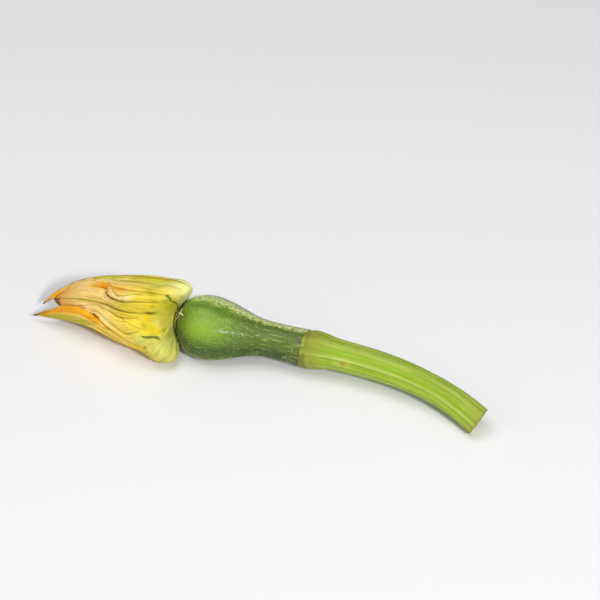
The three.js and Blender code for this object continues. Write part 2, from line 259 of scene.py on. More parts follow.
ORIGIN = design_origin()


def placed(points):
    """Design millimetres as metres in the frame."""
    return ORIGIN + 0.001 * np.asarray(points, float)


# Meshes and objects
def quads_of(ids):
    """The faces of a grid of point numbers. They face out where rows x columns does."""
    return np.stack([ids[:-1, :-1], ids[:-1, 1:], ids[1:, 1:], ids[1:, :-1]], -1).reshape(-1, 4)


def add_object(name, data):
    made = bpy.data.objects.new(name, data)
    bpy.context.scene.collection.objects.link(made)
    return made


class Skin:
    """A mesh in the making: grids of points that carry values for the material, and their faces."""

    def __init__(self):
        self.count = 0
        self.points = []
        self.faces = []
        self.values = {}

    def add_points(self, points, **values):
        """Adds a grid of points, and gives the grid of their numbers."""
        points = np.asarray(points, float)
        shape = points.shape[:-1]
        ids = self.count + np.arange(int(np.prod(shape))).reshape(shape)
        for name, value in values.items():
            width = 3 if name == "grain" else 1
            full = np.broadcast_to(value, shape + ((3,) if width == 3 else ()))
            self.values.setdefault(name, []).append(full.reshape(-1, width))
        self.points.append(points.reshape(-1, 3))
        self.count += ids.size
        return ids

    def add_grid(self, points, **values):
        ids = self.add_points(points, **values)
        self.faces.append(quads_of(ids))
        return ids

    def add_faces(self, faces):
        self.faces.append(np.asarray(faces))

    def add_sheet(self, outside, inside, side_from=0, back=None, **values):
        """A thin sheet between two grids, closed at both ends, and at its sides from a row on."""
        front_ids = self.add_grid(outside, **values)
        back_ids = self.add_points(inside, **{**values, **(back or {})})
        self.add_faces(quads_of(back_ids)[:, ::-1])
        rims = [
            (front_ids[0, ::-1], back_ids[0, ::-1]),
            (front_ids[side_from:, -1][::-1], back_ids[side_from:, -1][::-1]),
            (front_ids[-1], back_ids[-1]),
            (front_ids[side_from:, 0], back_ids[side_from:, 0]),
        ]
        for outer, inner in rims:
            self.add_faces(quads_of(np.stack([outer, inner])))

    def piece(self, name, look, slot, replaces=None):
        """Makes the Blender object, which can take the place of a solid."""
        points = placed(np.concatenate(self.points))
        faces = [tuple(f) for group in self.faces for f in group.tolist()]
        mesh = bpy.data.meshes.new(name)
        mesh.from_pydata(points.tolist(), [], faces)
        corners = np.concatenate([group.reshape(-1) for group in self.faces])
        for key, parts in self.values.items():
            kind, field = ("FLOAT_VECTOR", "vector") if key == "grain" else ("FLOAT", "value")
            value = np.concatenate(parts)[corners]
            mesh.attributes.new(key, kind, "CORNER").data.foreach_set(field, value.ravel())
        piece = add_object(name, mesh)
        mesh.materials.append(look.material)
        tidy_mesh(mesh)
        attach(piece, "root")
        if replaces:
            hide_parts(replaces)


def tidy_mesh(mesh):
    """Makes one point of those closer than the weld, and shades the faces smooth."""
    made = bmesh.new()
    made.from_mesh(mesh)
    bmesh.ops.remove_doubles(made, verts=made.verts, dist=WELD * 0.001)
    bmesh.ops.dissolve_degenerate(made, edges=made.edges, dist=WELD * 0.001 * 0.1)
    for face in made.faces:
        face.smooth = True
    made.to_mesh(mesh)
    made.free()


# Materials
def rgb(red, green, blue):
    """A screen colour, 0 to 255 each, as the linear colour that a socket takes."""
    share = np.array([red, green, blue]) / 255
    linear = np.where(share <= 0.04045, share / 12.92, ((share + 0.055) / 1.055) ** 2.4)
    return (*linear.tolist(), 1.0)


class Look:
    """A material with one Principled shader, and short ways to add the nodes that feed it.

    A name given where a node wants a number stands for that value of the skin.
    """

    def __init__(self, name, settings=None):
        self.material = bpy.data.materials.new(name)
        self.material.use_nodes = True
        self.tree = self.material.node_tree
        self.shader = self.tree.nodes["Principled BSDF"]
        for socket, value in (settings or {}).items():
            self.shader.inputs[socket].default_value = value

    def feed(self, socket, value):
        if isinstance(value, str):
            value = self.node("Attribute", {}, "Fac", attribute_name=value)
        if isinstance(value, bpy.types.NodeSocket):
            self.tree.links.new(value, socket)
        else:
            socket.default_value = value

    def node(self, kind, inputs, output=0, **settings):
        made = self.tree.nodes.new("ShaderNode" + kind)
        for key, value in settings.items():
            setattr(made, key, value)
        for key, value in inputs.items():
            self.feed(made.inputs[key], value)
        return made.outputs[output]

    def grain(self, *stretch):
        """The place on the skin in millimetres, divided by a stretch round it, again, and along it."""
        vector = self.node("Attribute", {}, "Vector", attribute_name="grain")
        return self.node("VectorMath", {0: vector, 1: stretch}, operation="DIVIDE")

    def noise(self, stretch, detail=2.0, rough=0.5):
        vector = self.grain(*stretch)
        return self.node("TexNoise", {"Vector": vector, "Scale": 1.0, "Detail": detail, "Roughness": rough})

    def cells(self, stretch, feature="F1", output="Distance"):
        inputs = {"Vector": self.grain(*stretch), "Scale": 1.0}
        return self.node("TexVoronoi", inputs, output, feature=feature)

    def maths(self, operation, a, b=0.0):
        return self.node("Math", {0: a, 1: b}, operation=operation)

    def times(self, a, b):
        return self.maths("MULTIPLY", a, b)

    def plus(self, a, b):
        return self.maths("ADD", a, b)

    def minus(self, a, b):
        return self.maths("SUBTRACT", a, b)

    def rescaled(self, value, factor, addition):
        return self.node("Math", {0: value, 1: factor, 2: addition}, operation="MULTIPLY_ADD")

    def between(self, value, low, high):
        """0 up to low and 1 from high, smooth between them. Low may be the larger one."""
        inputs = {"Value": value, "From Min": low, "From Max": high}
        return self.node("MapRange", inputs, interpolation_type="SMOOTHSTEP")

    def spread(self, value, low, high):
        """A value from 0 to 1 taken to the range from low to high."""
        return self.node("MapRange", {"Value": value, "To Min": low, "To Max": high})

    def broken(self, name, noise, low, high):
        """A value of the skin, broken up by where a noise rises from low to high."""
        return self.times(name, self.between(noise, low, high))

    def mix(self, share, a, b, blend="MIX"):
        return self.node("Mix", {0: share, 6: a, 7: b}, 2, data_type="RGBA", blend_type=blend)

    def blend(self, noise, low, high, first, second):
        """One screen colour where a noise is low, and the other where it is high."""
        return self.mix(self.between(noise, low, high), rgb(*first), rgb(*second))

    def coats(self, colour, *coats):
        """The colour under coats of paint, each with its share of the surface, strength and screen colour."""
        for share, strength, paint in coats:
            if strength < 1:
                share = self.times(share, strength)
            colour = self.mix(share, colour, rgb(*paint))
        return colour

    def stops(self, value, *stops):
        made = self.tree.nodes.new("ShaderNodeValToRGB")
        ramp = made.color_ramp
        for i, (position, colour) in enumerate(stops):
            stop = ramp.elements[i] if i < 2 else ramp.elements.new(position)
            stop.position = position
            stop.color = colour
        self.feed(made.inputs[0], value)
        return made.outputs[0]

    def finish(self, colour, roughness, height, depth):
        """Feeds the shader. Depth is how far the height's bumps stand out, in millimetres."""
        self.feed(self.shader.inputs["Base Color"], colour)
        self.feed(self.shader.inputs["Roughness"], roughness)
        bump = self.node("Bump", {"Height": height, "Distance": depth * 0.001, "Strength": 1.0})
        self.feed(self.shader.inputs["Normal"], bump)
        return self


# Corolla: the smooth form, as in the part
def shoulder(azimuth):
    """How far back the corolla's shoulder reaches at an azimuth."""
    return SHOULDER_BACK + sum(h * near(turn(centre, azimuth), spread) for centre, h, spread in SWELLINGS)


def corolla_point(azimuth, reach, height=0.0):
    """Reach is 0 at the base ring, 1 past the shoulder and 2 at the notches. Height adds to the radius."""
    azimuth, reach, height = np.broadcast_arrays(azimuth, reach, height)
    back = shoulder(azimuth)
    tube_start = back - 10
    full = through(TUBE_RADIUS, tube_start)
    knee = np.where(back > 0, 0.2, 0.45)
    base = bezier(
        [
            np.stack(np.broadcast_arrays(BASE_X, BASE_RADIUS, back), -1)[..., :2],
            np.stack([BASE_X + knee * back, 0.53 * full], -1),
            np.stack([back + 4.5, 0.96 * full], -1),
            np.stack([tube_start, full], -1),
        ],
        clamp(reach),
    )
    tube_x = mix(tube_start, NOTCH_X, reach - 1)
    x = np.where(reach < 1, base[..., 0], tube_x)
    radius = np.where(reach < 1, base[..., 1], through(TUBE_RADIUS, tube_x)) + height
    spread = smooth((radius - BASE_RADIUS) / 14)
    centre_y = mix(0, through(TUBE_CENTRE, x, 1), spread)
    centre_z = mix(BLOSSOM_END_HEIGHT, through(TUBE_CENTRE, x, 2), spread)
    half_width = mix(1, WIDTH_SHARE, spread) * radius
    half_height = mix(1, HEIGHT_SHARE, spread) * radius
    angle = np.radians(azimuth)
    return np.stack([x, centre_y - half_width * np.cos(angle), centre_z + half_height * np.sin(angle)], -1)


def corolla_outward(azimuth, reach):
    at = corolla_point(azimuth, reach)
    ahead = corolla_point(azimuth, reach + 0.01) - at
    return unit(np.cross(corolla_point(azimuth + 1, reach) - at, ahead))


RIDGE_AT_NOTCH = MIDRIB_HEIGHT + PLEAT_HEIGHT


def lobe_spine(petal):
    midrib = FIRST_MIDRIB + petal * PETAL_STEP
    ridge = corolla_point(midrib, 2, RIDGE_AT_NOTCH)
    slope = unit(corolla_point(midrib, 2) - corolla_point(midrib, 1.9))
    tip = np.array(LOBE_TIPS[petal])
    return [ridge, ridge + slope * np.linalg.norm(ridge - tip) * LOBE_BENDS[petal], tip]


LOBE_SPINES = [lobe_spine(petal) for petal in range(PETALS)]


def lobe_width(petal, side, along):
    """A lobe's width on one side, which is -1 or 1, and its part of the gap there, 1 being half of it."""
    neighbour = (petal + side) % PETALS
    own, next_one = LOBE_SPINES[petal], LOBE_SPINES[neighbour]

    def apart(share):
        return np.linalg.norm((bezier(own, share) - bezier(next_one, share))[..., 1:], axis=-1)

    seam = petal if side > 0 else neighbour
    share = SEAM_SHARES[seam] if side > 0 else 1 - SEAM_SHARES[seam]
    taken = mix(1, 2 * share, smooth(along * 2.5))
    if SEAM_ON_TOP[seam] == side:
        over = SEAM_OVERLAPS[seam] * rise(along, 0.1, 0.55)
    else:
        over = UNDER_REACH * rise(along, 0.04, 0.2)
    room = taken * apart(along) / apart(0.0) + through(LOBE_EDGE, along) + over
    left = 1 - clamp(along) ** LOBE_BLUNTNESS[petal]
    width = mix(LOBE_TIP_SHARE, 1, room * left ** LOBE_TAPER[petal])
    return width, taken


def lobe_tuck(petal, across, along):
    """How deep each place of a lobe lies under its neighbour."""
    seam = np.where(across > 0, petal, (petal - 1) % PETALS)
    under = np.array(SEAM_ON_TOP)[seam] == np.where(across > 0, -1, 1)
    from_midrib = rise(np.abs(across), 0.3, 0.6)
    return LOBE_TUCK * under * from_midrib * smooth(along / 0.2) * smooth((1 - along) / 0.3)


def lobe_outward(petal, azimuth, along):
    """At the tip the whole width of a lobe faces the way its midrib does."""
    midrib = FIRST_MIDRIB + petal * PETAL_STEP
    side = corolla_point(midrib + 1, 2) - corolla_point(midrib, 2)
    a, b, c = LOBE_SPINES[petal]
    tangent = bezier([b - a, c - b], along)
    facing = unit(np.cross(side, tangent))
    return unit(mix(corolla_outward(azimuth, 2.0), facing, rise(along, 0.6, 0.35)[..., None]))


# Corolla: folds

# Folds, veins and colours follow lines that wander from where they would run straight. Each line is
# named by its azimuth, and has stations of reach and of the degrees that it wanders.
WANDER = {
    43: [(0, 6), (0.54, 7.5), (0.74, 1), (0.95, -3.5), (1.26, -3), (1.71, 0), (2, 0), (3, 0)],
    79: [
        (0, 0), (0.6, 0), (0.85, -12), (1, -21), (1.25, -25), (1.56, -24.5), (1.81, -19.5), (1.94, -11),
        (2, 0), (3, 0),
    ],
    115: [(0, 0), (1.2, -6), (1.9, -6), (2, -3), (2.1, 0), (3, 0)],
    7: [
        (0, 0), (0.7, -6), (0.95, -19), (1.21, -32), (1.35, -32), (1.5, -23), (1.7, -15), (1.87, -8),
        (2, 0), (3, 0),
    ],
    331: [(0, 0), (0.8, -8), (1.25, -24), (1.6, -16), (2, 0), (3, 0)],
}


def pattern_azimuth(azimuth, reach):
    """The azimuth that each place would have if the lines ran straight. A row is read at its first reach."""
    lines = FLAP_SEAM + HALF_PETAL * np.arange(-1, 12)
    pattern = np.empty(np.shape(azimuth))
    for row, row_reach in enumerate(reach[:, 0]):
        moved = [n + (through(WANDER[n % 360], row_reach) if n % 360 in WANDER else 0) for n in lines]
        pattern[row] = np.interp(azimuth[row], moved, lines)
    return pattern


def midrib_share(pattern):
    """0 on a petal's midrib and 1 on a seam."""
    return zigzag(pattern - FIRST_MIDRIB, HALF_PETAL) / HALF_PETAL


def crests(pattern, count=1):
    """1 on the crests of the pleats and 0 in their valleys, with this many crests to a pleat."""
    return np.abs(np.cos(np.radians(count * 180 / PLEAT_STEP * (pattern - FIRST_MIDRIB))))


def relief(pattern, reach):
    """The height of midribs, pleats and the furrows between petals."""
    share = midrib_share(pattern)
    ridge = MIDRIB_HEIGHT * near(share, 0.1)
    furrow = FURROW_DEPTH * near(1 - share, 0.17)
    pleats = PLEAT_HEIGHT * (2 * crests(pattern) ** 0.8 - 1)
    fine = 0.12 * (2 * crests(pattern, 3) - 1)
    return (ridge - furrow) * rise(reach, 0.25, 0.6) + (pleats + fine) * rise(reach, 0.62, 0.3)


def flap(pattern, reach):
    """The near petal's lower edge lies over its neighbour."""
    past = turn(FLAP_SEAM, pattern)
    over = 0.55 * smooth(past / 1.2) * near(past, 9)
    under = 0.5 * smooth(-past / 1.2) * near(past, 7)
    return (over - under) * rise(reach, 0.9, 0.3) * fall(reach, 1.82, 0.22)


def tongue(pattern, reach):
    """The rolled fold that lies along the seam between the near petal and the upper one."""
    past = turn(TONGUE_SEAM, pattern)
    share = clamp(past / through(TONGUE_WIDTH, reach))
    roll = 1.5 * np.sin(np.pi * share**0.7) - 0.5 * near(past + 2, 2)
    return roll * rise(reach, 0.95, 0.4) * fall(reach, 1.84, 0.13)


def petal_grain(pattern, reach):
    return rolled(GRAIN_RADIUS, np.radians(pattern), reach * GRAIN_LENGTH)


def small_folds(azimuth, pattern, reach, points):
    """Folds along the petals, puckers round the base, crinkles across the lobes, the flap and the tongue."""
    place = petal_grain(pattern, reach)
    along = lumps(place, (1.3, 1.3, 14)) * 0.22 * rise(reach, 0.5, 0.5)
    soft = lumps(points, (5, 4, 4)) * 0.45 * fall(reach, 0.8, 0.6) * smooth(reach / 0.3)
    puckers = 0.3 * np.cos(np.radians(azimuth) * 20 + 3 * lumps(points, 7)) * near(reach - 0.42, 0.3)
    across = lumps(place, (4, 4, 1.1)) * 0.14 * rise(reach, 1.7, 0.6)
    return along + soft + puckers + across + flap(pattern, reach) + tongue(pattern, reach)


def lobe_relief(pattern, along, across):
    """Past the notches the midrib and veins stay, and the edges curl and wave."""
    veins = 0.35 * near(midrib_share(pattern), 0.08) + 0.12 * crests(pattern)
    edge = np.abs(across) ** 5 * smooth((along - 0.2) * 4)
    wave = 0.5 * np.sin(along * 19 + across * 2 + pattern * 0.06)
    return veins * smooth(along * 1.3) + edge * wave


def petal_grid(petal, reach, across):
    """Points, outward directions, azimuths and pattern azimuths of a petal, with its fine relief."""
    azimuth = FIRST_MIDRIB + petal * PETAL_STEP + across * HALF_PETAL
    pattern = pattern_azimuth(azimuth, reach)
    in_tube = np.minimum(reach, 2)
    along = clamp(reach - 2)
    height = relief(pattern, in_tube)
    points = corolla_point(azimuth, in_tube, height)
    outward = corolla_outward(azimuth, in_tube)
    spine = LOBE_SPINES[petal]
    calm = mix(height, RIDGE_AT_NOTCH, smooth(along * 1.8))
    from_midrib = corolla_point(azimuth, 2.0, calm) - spine[0]
    low, high = lobe_width(petal, -1, along), lobe_width(petal, 1, along)
    width, widened = [np.where(across < 0, a, b) for a, b in zip(low, high)]
    lobe = bezier(spine, along) + from_midrib * width[..., None]
    past_notch = (reach > 2)[..., None]
    points = np.where(past_notch, lobe, points)
    pattern = pattern + across * HALF_PETAL * (widened - 1)
    outward = np.where(past_notch, lobe_outward(petal, azimuth, along), outward)
    fine = small_folds(azimuth, pattern, reach, points)
    fine += lobe_relief(pattern, along, across) - lobe_tuck(petal, across, along)
    fine -= 0.35 * folds(azimuth, in_tube) * (1 - smooth(along / 0.05))
    fine *= 1 - 0.6 * rise(along, 0.8, 0.2)
    return points + fine[..., None] * outward, outward, azimuth, pattern


# Corolla: places of its colours

# Each spot has its azimuth, its reach, and how far it spreads in both.
# Deep spots are painted shade: darker olive in the recesses of the dent and round it.
DEEP_SPOTS = [
    (84, 1.05, 9, 0.1), (77, 0.68, 9, 0.09), (76, 0.42, 12, 0.12), (5, 0.38, 8, 0.06), (-13, 0.3, 9, 0.07),
    (77, 0.95, 4, 0.05), (69, 0.83, 4, 0.05), (60, 0.72, 3, 0.04), (50, 0.58, 4, 0.05), (22, 0.74, 4, 0.04),
]
GOLD_SPOTS = [(38, 0.66, 8, 0.06), (16, 0.73, 8, 0.06), (15, 0.56, 9, 0.06), (55, 0.78, 10, 0.06)]
# The pale spot is painted light on a bump in the dent.
PALE_SPOTS = [(26, 0.44, 13, 0.09)]
BROWN_SPOTS = [(47, 0.66, 2.6, 0.1)]
# Each green line has its azimuth, its half width in degrees and its strength.
GREEN_LINES = [(115, 10, 1), (187, 8, 1), (259, 8, 1), (FIRST_MIDRIB, 2.4, 0.9)]
# How orange each petal is along its margins and at its tip
MARGIN_ORANGE = [0, 0.4, 0.8, 0.8, 0]
TIP_ORANGE = [0.45, 1, 1, 1, 0.2]
# Dark lines where folds press together: painted shade in the creases, also pressed a little into the surface.
# Each has its strength, its half width in degrees, and its course as stations of reach and azimuth.
FOLD_LINES = [
    (1.0, 1.4, [(0.82, 68), (1, 57), (1.25, 53), (1.56, 54), (1.81, 58), (1.95, 66), (2, 72)]),
    (0.8, 1.3, [(1.04, 72), (1.19, 69), (1.36, 64.5), (1.56, 63), (1.71, 68), (1.84, 75)]),
    (0.6, 1.0, [(1.05, 83), (1.3, 84.5), (1.55, 86), (1.9, 87.5)]),
    (0.9, 1.5, [(0.52, 51), (0.74, 44), (0.95, 39.5), (1.26, 40), (1.71, 43), (2, 43)]),
    (0.6, 0.9, [(0.73, 54.5), (0.85, 49.5), (0.98, 48.5), (1.3, 46.5)]),
    (0.6, 1.0, [(0.72, 16), (0.89, 19), (0.99, 23.5), (1.24, 28.5), (1.76, 31.5), (2, 32)]),
    (0.5, 0.9, [(0.68, 29.5), (0.85, 32), (1.1, 34)]),
    (0.7, 1.0, [(1.15, -25), (1.33, -26), (1.5, -15.5), (1.7, -11), (1.9, -8)]),
]


def spots(places, azimuth, reach):
    """1 in the middle of each place, which has an azimuth, a reach and how far it spreads in both."""
    return sum(near(turn(a, azimuth), width) * near(reach - r, length) for a, r, width, length in places)


def folds(azimuth, reach):
    """How dark the fold lines' painted shade is at each place."""
    total = 0
    for strength, width, course in FOLD_LINES:
        line = through(course, reach)
        ends = smooth((reach - course[0][0] + 0.04) / 0.12) * smooth((course[-1][0] + 0.02 - reach) / 0.06)
        total = total + strength * ends * near(turn(line, azimuth), width)
    return clamp(total)


def below_flap(pattern):
    """1 on the petal that lies under the near petal's lower edge, fading away from that edge."""
    past = turn(FLAP_SEAM, pattern)
    return smooth(-past / 1.5) * rise(past, -70, 25)


def orange_share(petal, pattern, reach, across):
    """How orange each place is. The near petal is peach, and the low one is orange along its upper side."""
    lobe = rise(reach, 1.95, 0.35)
    margins = MARGIN_ORANGE[petal] * rise(midrib_share(pattern), 0.6, 0.35) * lobe
    tips = TIP_ORANGE[petal] * rise(reach, 2.5, 0.35)
    if petal == NEAR_PETAL:
        tips = tips * rise(across, -0.1, 0.5)
    upper_side = rise(across, 0.55, 0.2) * rise(reach, 1.9, 0.2) if petal == LOW_PETAL else 0
    band = below_flap(pattern) * rise(reach, 1.15, 0.3)
    patch = 0.75 * near(turn(80, pattern), 11) * near(reach - 2.08, 0.28)
    patch += 0.6 * near(turn(92, pattern), 5) * near(reach - 1.65, 0.35)
    return margins + tips + upper_side + 0.12 * band + patch


def brown_share(petal, reach, azimuth, across):
    """How brown each place is. Tips and the edges of two lobes are dry."""
    edges, lower_tip = 0, 0
    if petal in (NEAR_PETAL, LOW_PETAL):
        edges = rise(reach, 2.75, 0.2) * rise(np.abs(across), 0.6, 0.3)
    if petal == NEAR_PETAL:
        lower_tip = rise(reach, 2.8, 0.12) * smooth((0.3 - across) / 0.4)
    return spots(BROWN_SPOTS, azimuth, reach) + 0.6 * edges + lower_tip + rise(reach, 2.95, 0.04)


def petal_marks(petal, pattern, reach, azimuth, across):
    """Where a petal has its colours, painted light and shade, and folds pressed together, each from 0 to 1.
    """
    side = turn(0, azimuth)
    dent = smooth((1 - shoulder(azimuth)) / 5) * fall(reach, 0.7, 0.16)
    on_tube = stripes(pattern, *GREEN_LINES) * rise(reach, 0.8, 0.3) * fall(reach, 2.3, 0.4)
    low_side = 0.9 * smooth((0.65 - across) / 0.3) * rise(reach, 2.0, 0.3) if petal == LOW_PETAL else 0
    # The pale upper shoulder is partly the petals' own pale colour and partly painted light on their top
    # side.
    upper_shoulder = rise(azimuth, 78, 34) * smooth((235 - azimuth) / 40)
    # The low shoulder is greener, and darker with painted shade on its lower side.
    low_shoulder = smooth((14 - side) / 16) * rise(side, -120, 40)
    band = below_flap(pattern) * rise(reach, 1.05, 0.2)
    past = turn(TONGUE_SEAM, pattern) / through(TONGUE_WIDTH, reach)
    on_tongue = rise(past, -0.1, 0.2) * smooth((1.1 - past) / 0.3)
    marks = {
        "orange": orange_share(petal, pattern, reach, across),
        "green": on_tube + low_side,
        # Pale: the shoulder's own colour with painted light on its top side, and painted light on a bump in
        # the dent
        "pale": upper_shoulder * fall(reach, 0.85, 0.6) + 0.45 * spots(PALE_SPOTS, azimuth, reach),
        "low_green_and_shade": low_shoulder * fall(reach, 0.9, 0.35),
        # Deep is painted shade in the dent and its recesses.
        "deep": 0.15 * dent + spots(DEEP_SPOTS, azimuth, reach),
        "gold": 0.2 * dent + spots(GOLD_SPOTS, azimuth, reach) + 0.6 * band,
        "brown": brown_share(petal, reach, azimuth, across),
        "peach": on_tongue * rise(reach, 1.0, 0.3) * fall(reach, 1.94, 0.05),
        # Painted shade in the creases
        "fold": folds(azimuth, reach),
    }
    return {name: clamp(value) for name, value in marks.items()}


# Corolla: material

# Each kind of vein has half its step in degrees, its width, its strength and its screen colour.
VEINS = [
    (PLEAT_STEP / 12, 0.9, 0.25, (204, 164, 46)),
    (PLEAT_STEP / 4, 0.9, 0.45, (196, 156, 30)),
    (PLEAT_STEP / 2, 1.3, 0.8, (146, 112, 8)),
]


def petal_look():
    look = Look("petal", {"Specular IOR Level": 0.22, "Subsurface Weight": 0.08, "Subsurface Scale": 0.002})
    streaks = look.noise((0.8, 0.8, 12), 3, 0.6)
    patches = look.noise((5, 5, 9), 3, 0.55)
    from_base_to_tip = look.stops(
        look.maths("DIVIDE", "reach", 3.0),
        (0.0, rgb(196, 202, 100)),
        (0.15, rgb(214, 210, 78)),
        (0.3, rgb(228, 208, 62)),
        (0.42, rgb(238, 216, 88)),
        (0.58, rgb(255, 220, 138)),
        (0.8, rgb(255, 212, 136)),
        (1.0, rgb(236, 160, 50)),
    )
    uneven = look.times(look.minus(patches, 0.5), 0.7)
    colour = look.coats(
        from_base_to_tip,
        # Pale: the shoulder's own colour, with painted light on its top side and on a bump in the dent
        ("pale", 1, (238, 242, 168)),
        # Greener low shoulder, darkened by painted shade
        ("low_green_and_shade", 0.75, (186, 194, 108)),
        (look.between(patches, 0.42, 0.7), 0.3, (246, 200, 74)),
        (look.broken("gold", patches, 0.25, 0.5), 1, (240, 200, 20)),
        # Painted shade in the dent's recesses
        (look.broken("deep", streaks, 0.3, 0.5), 1, (168, 166, 12)),
        (look.broken("green", streaks, 0.15, 0.55), 1, (178, 180, 36)),
        (look.between(look.plus("orange", uneven), 0.15, 0.8), 1, (250, 166, 0)),
        ("peach", 0.9, (255, 230, 158)),
    )
    colour = petal_veins(look, colour, patches)
    colour = look.mix(look.between(streaks, 0.52, 0.75), colour, rgb(255, 236, 170), "SOFT_LIGHT")
    colour = look.coats(colour, (look.broken("brown", streaks, 0.25, 0.5), 1, (104, 66, 8)))
    network = look.cells((1.1, 1.1, 1.5), "DISTANCE_TO_EDGE")
    height = look.plus(look.times(look.between(network, 0.0, 0.12), 0.3), streaks)
    return look.finish(colour, look.spread(patches, 0.42, 0.62), height, 0.3)


def petal_veins(look, colour, patches):
    """Draws the midribs, a line in each valley, finer lines between them and the fold lines' painted shade.
    """
    waver = look.rescaled(look.noise((2.5, 2.5, 9), 3), 1.6, -0.8)
    offset = look.plus("azimuth", waver)
    started = look.times(look.between("reach", 0.7, 1.0), look.minus(1.0, look.times("low_green_and_shade", 0.85)))
    seen = look.times(look.times(started, look.between("reach", 2.8, 2.2)), look.between(patches, 0.25, 0.55))
    for half_step, width, strength, paint in VEINS:
        from_line = look.minus(half_step, look.maths("PINGPONG", offset, half_step))
        share = look.times(look.between(from_line, width, 0.1), look.times(seen, strength))
        colour = look.coats(colour, (share, 1, paint))
    from_midrib = look.maths("PINGPONG", offset, HALF_PETAL)
    midrib = look.times(look.between(from_midrib, 2.2, 0.4), started)
    # The fold lines are painted shade.
    return look.coats(colour, (midrib, 0.8, (150, 126, 10)), ("fold", 0.85, (124, 96, 6)))


# Corolla: mesh
def add_thread(skin, start, ahead, length):
    """A petal's tip ends in a thin dry thread that curls up a little."""
    share = rows_of(0, 1, 12)
    angle = columns_of(0, TAU, 8)
    side = unit(np.cross(ahead, [0, 0, 1]))
    up = np.cross(side, ahead)
    radius = 0.55 * (1 - share) ** 0.5 * smooth(share / 0.05 + 0.3)
    around = side * np.cos(angle)[..., None] + up * np.sin(angle)[..., None]
    curl = 0.12 * up * share[..., None] ** 2 - 0.08 * side * np.sin(4 * share)[..., None]
    points = start + length * (ahead * (share[..., None] - 0.12) + curl) + radius[..., None] * around
    points = on_floor(closed(points))[:, ::-1]
    plain = ("azimuth", "orange", "green", "pale", "low_green_and_shade", "deep", "gold", "peach", "fold")
    skin.add_grid(points, reach=3.0, brown=1.0, grain=points, **dict.fromkeys(plain, 0.0))


def corolla():
    base_rows, tube_rows, lobe_rows, columns = 44, 56, 60, 48
    rows = np.concatenate([
        np.linspace(0, 1, base_rows, endpoint=False),
        np.linspace(1, 2, tube_rows, endpoint=False),
        np.linspace(2, 3, lobe_rows + 1),
    ])
    reach, across = np.meshgrid(rows, np.linspace(-1, 1, columns + 1), indexing="ij")
    along = clamp(reach - 2)
    edge = np.maximum(np.abs(across) ** 4 * smooth(along * 6), rise(along, 0.9, 0.1))
    thickness = mix(PETAL_THICKNESS, PETAL_EDGE, edge)
    skin = Skin()
    for petal in range(PETALS):
        points, outward, azimuth, pattern = petal_grid(petal, reach, across)
        on_floor(points)
        values = petal_marks(petal, pattern, reach, azimuth, across)
        values["azimuth"] = pattern - FIRST_MIDRIB
        values["reach"] = reach
        values["grain"] = petal_grain(pattern, reach)
        skin.add_sheet(points, points - outward * thickness[..., None], base_rows + tube_rows, **values)
        spine = LOBE_SPINES[petal]
        add_thread(skin, spine[2], unit(spine[2] - spine[1]), TIP_THREADS[petal])
    skin.piece("corolla_skin", petal_look(), "corolla", "corolla")


# Fruit
def fruit_surface(share, azimuth):
    """Points and outward directions of the fruit's skin."""
    centre = bezier(FRUIT_LINE, share)
    x = centre[..., 0]
    radius = through(FRUIT_RADIUS, x)
    angle = np.radians(azimuth)
    direction = radial(angle)
    ribs = FRUIT_RIB_HEIGHT * smooth((radius - BASE_RADIUS) / 5) * np.cos(FRUIT_RIBS * angle)
    plain = centre + direction * (radius + ribs)[..., None]
    fine = 0.12 * lumps(plain, (7, 3.5, 3.5)) + 0.035 * lumps(plain, (1.6, 0.9, 0.9))
    fine += 0.05 * lumps(plain, (16, 1.6, 1.6)) * rise(x, 26, 14)
    return plain + direction * fine[..., None], direction


def fruit_marks(x, azimuth):
    """Where the fruit is pale, dark, olive and scarred, and where light and shade are painted, each from 0 to
    1.
    """
    side = turn(0, azimuth)
    body = rise(x, 3, 8)
    pale = stripes(azimuth, (103, 15, 1), (176, 12, 1), (243, 12, 1), (-46, 5, 1))
    dark = stripes(azimuth, *[(centre, 6, 1) for centre in (76, 136, 200, 265, -58)])
    scar = oval(x, azimuth, 64.8, 1.6, 57, 9)
    seam = near(turn(66 + (x - 60) * 0.2, azimuth), 2.2) * rise(x, 42, 14)
    # Painted shade darkens the lower near side and the end next to the flower.
    low = smooth((30 - side) / 34) * rise(side, -110, 40)
    blossom_end = fall(x, 3, 12) * smooth((85 - np.abs(side)) / 40)
    return {
        "pale": pale * body,
        "dark": clamp(0.8 * dark * body + 0.7 * seam + scar),
        # The belly is partly its own brighter green and partly painted light where the key light falls.
        "belly_tint_and_light": near(turn(34, azimuth), 36) * near(x - 17, 11),
        "olive": rise(x, 24, 16),
        "painted_shade": clamp(low + 0.8 * blossom_end) * (1 - near(turn(-46, azimuth), 5)),
        "scar": clamp(scar + 0.5 * seam),
    }


